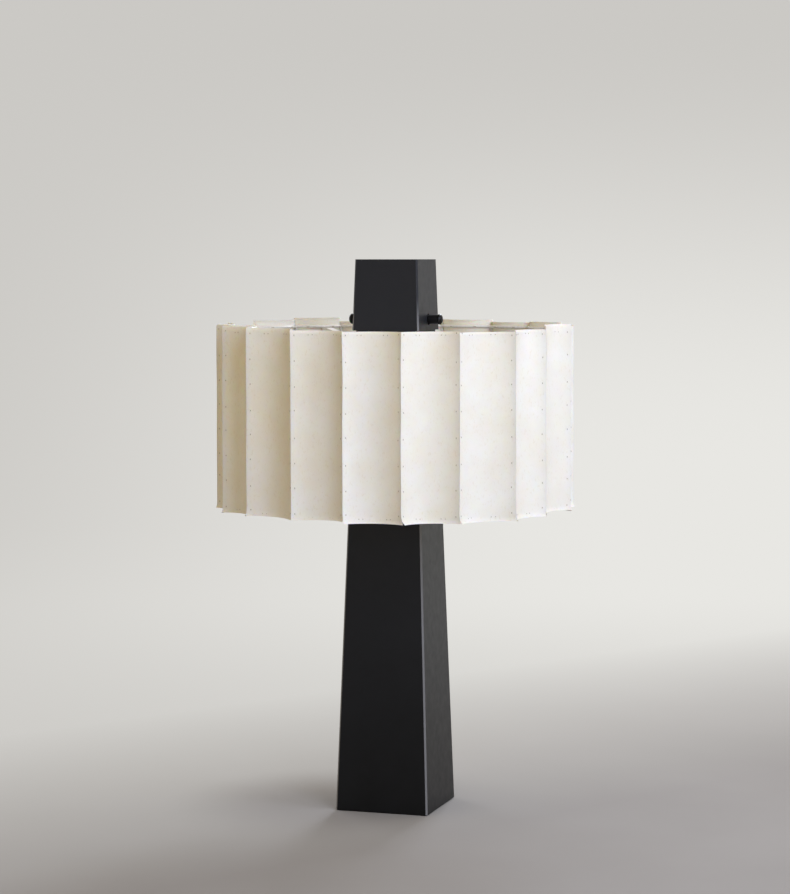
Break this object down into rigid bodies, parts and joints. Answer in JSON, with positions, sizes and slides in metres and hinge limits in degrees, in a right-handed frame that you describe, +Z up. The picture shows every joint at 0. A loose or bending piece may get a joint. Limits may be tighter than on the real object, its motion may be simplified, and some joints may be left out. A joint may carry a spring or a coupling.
{
  "type": "table lamp",
  "caption": "Table lamp: tapered square steel column with a cap, a wide fluted shade of laced paper panels on a wire frame, lampholders inside it and a turn knob on either side.",
  "frame": {"origin": "centre of the footprint on the surface the lamp stands on", "axes": "+Z up, +X to the right seen from the front, the front looks along -Y, a knob on +X and one on -X, the cord inlet at the back on +Y"},
  "size_m": [0.3974, 0.3974, 0.61],
  "materials": {
    "paper": "matt, slightly mottled stiff paper",
    "blackened_steel": "satin blackened steel plate",
    "knob_steel": "satin blackened, turned",
    "frame_steel": "white stove enamel, satin",
    "arm_steel": "black, satin",
    "holder_shell": "black moulded",
    "bulb_glass": "frosted white",
    "felt": "black felt",
    "raw_steel": "mill finish",
    "bright_steel": "zinc plated",
    "bushing_plastic": "black moulded",
    "switch_housing": "black moulded"
  },
  "bodies": {
    "lamp": {"arm_flange_left": "arm_steel", "arm_flange_right": "arm_steel", "base_bolt": "bright_steel", "base_weight": "raw_steel", "bottom_ring": "frame_steel", "bulbs": "bulb_glass", "cap": "blackened_steel", "cap_rest_plate": "raw_steel", "column": "blackened_steel", "cord_bushing": "bushing_plastic", "crest_ribs": "frame_steel", "cross_arm": "arm_steel", "felt_pad": "felt", "foot_bar": "raw_steel", "lampholders": "holder_shell", "pleat_01": "paper", "pleat_02": "paper", "pleat_03": "paper", "pleat_04": "paper", "pleat_05": "paper", "pleat_06": "paper", "pleat_07": "paper", "pleat_08": "paper", "pleat_09": "paper", "pleat_10": "paper", "pleat_11": "paper", "pleat_12": "paper", "pleat_13": "paper", "pleat_14": "paper", "pleat_15": "paper", "pleat_16": "paper", "pleat_17": "paper", "pleat_18": "paper", "pleat_19": "paper", "pleat_20": "paper", "spider_collar": "frame_steel", "spoke_1": "frame_steel", "spoke_2": "frame_steel", "spoke_3": "frame_steel", "spoke_4": "frame_steel", "switch_left": "switch_housing", "switch_nut_left": "bright_steel", "switch_nut_right": "bright_steel", "switch_right": "switch_housing", "top_ring": "frame_steel"},
    "knob_right": {"knob_right": "knob_steel", "switch_shaft_right": "bright_steel"},
    "knob_left": {"knob_left": "knob_steel", "switch_shaft_left": "bright_steel"}
  },
  "joints": [
    {"name": "knob_right_turn", "type": "hinge", "parent": "lamp", "child": "knob_right", "pos_m": [0.0376, 0, 0.544], "axis": [1, 0, 0], "continuous": true},
    {"name": "knob_left_turn", "type": "hinge", "parent": "lamp", "child": "knob_left", "pos_m": [-0.0376, 0, 0.544], "axis": [-1, 0, 0], "continuous": true}
  ]
}
